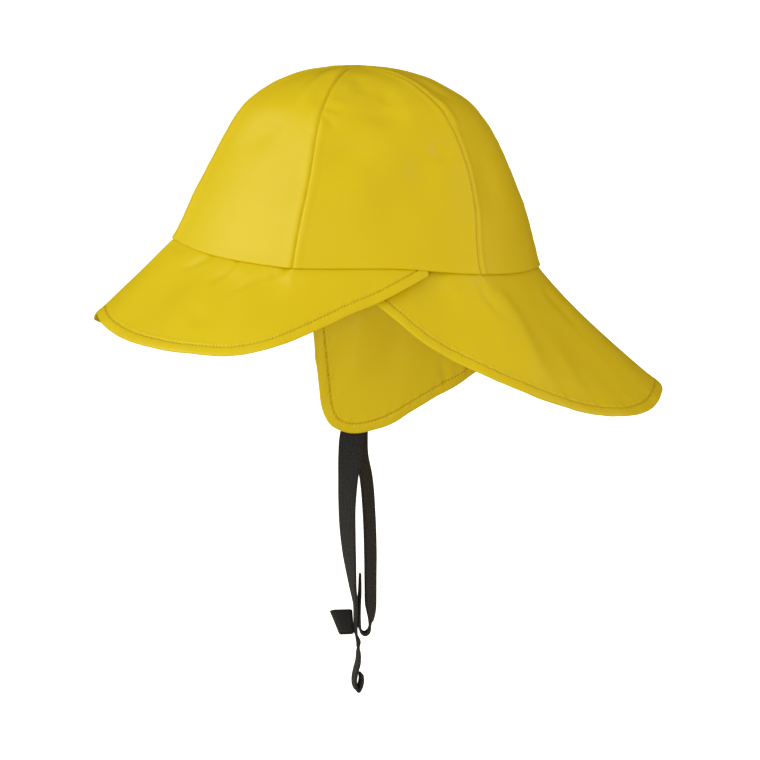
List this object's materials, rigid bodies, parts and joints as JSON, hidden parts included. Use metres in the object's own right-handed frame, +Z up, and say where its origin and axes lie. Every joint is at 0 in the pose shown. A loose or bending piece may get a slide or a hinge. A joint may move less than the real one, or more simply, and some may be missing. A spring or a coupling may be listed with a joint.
{
  "type": "rain hat",
  "caption": "Child's yellow rain hat with a panelled crown, short front brim, long back brim, ear flaps and a black chin strap.",
  "frame": {"origin": "centre of the head opening, where the crown meets the brims and the head sits", "axes": "+Z up through the top of the crown, -X forwards over the face, -Y towards the wearer's left ear"},
  "size_m": [0.2982, 0.2028, 0.3268],
  "materials": {
    "coated_cloth": "satin polyurethane coating on knitted polyester",
    "black_tape": "matt elastic tape"
  },
  "bodies": {
    "root": {"crown_panel_front_left": "coated_cloth", "crown_panel_left": "coated_cloth", "crown_panel_back_left": "coated_cloth", "crown_panel_back_right": "coated_cloth", "crown_panel_right": "coated_cloth", "crown_panel_front_right": "coated_cloth", "front_brim": "coated_cloth", "back_brim": "coated_cloth", "ear_flap_left": "coated_cloth", "ear_flap_right": "coated_cloth", "chin_strap_left": "black_tape", "chin_strap_right": "black_tape", "strap_pull_loop": "black_tape"}
  },
  "joints": []
}
